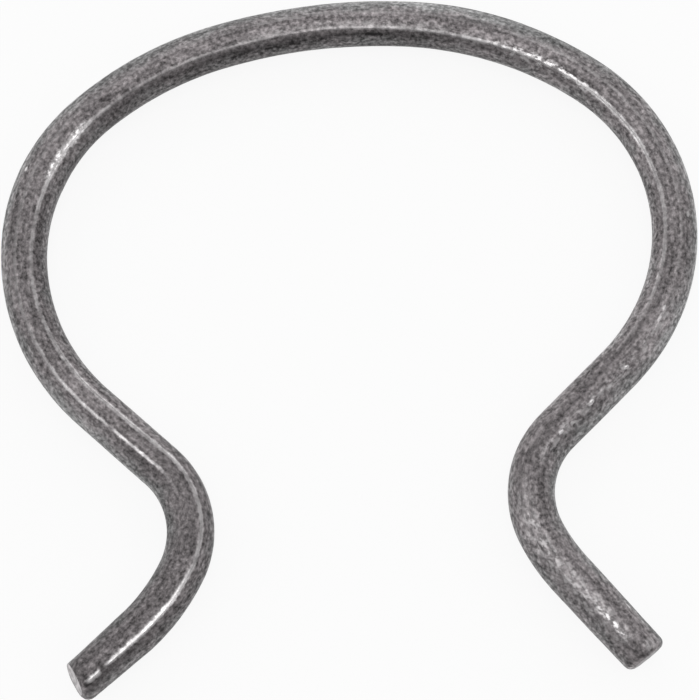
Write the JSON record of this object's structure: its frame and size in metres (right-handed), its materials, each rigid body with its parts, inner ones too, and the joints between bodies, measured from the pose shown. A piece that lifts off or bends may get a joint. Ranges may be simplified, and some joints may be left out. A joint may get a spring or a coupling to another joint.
{
  "type": "window crank clip",
  "caption": "Horseshoe-shaped spring wire clip whose pinched legs snap into the groove of a window regulator's spindle and hold the crank handle on.",
  "frame": {"origin": "axis of the spindle that the clip grips, midway between the two necks, in the plane that the clip lies on", "axes": "+Z along the spindle's axis and up from the surface that the clip lies on, +Y towards the crown, +X to the right seen from above with the feet below"},
  "size_m": [0.028, 0.028, 0.0018],
  "materials": {
    "spring_steel": "bare hard-drawn spring steel, dark grey, with lengthwise die lines and burnished edges along the flats"
  },
  "bodies": {
    "root": {"clip": "spring_steel"}
  },
  "joints": []
}
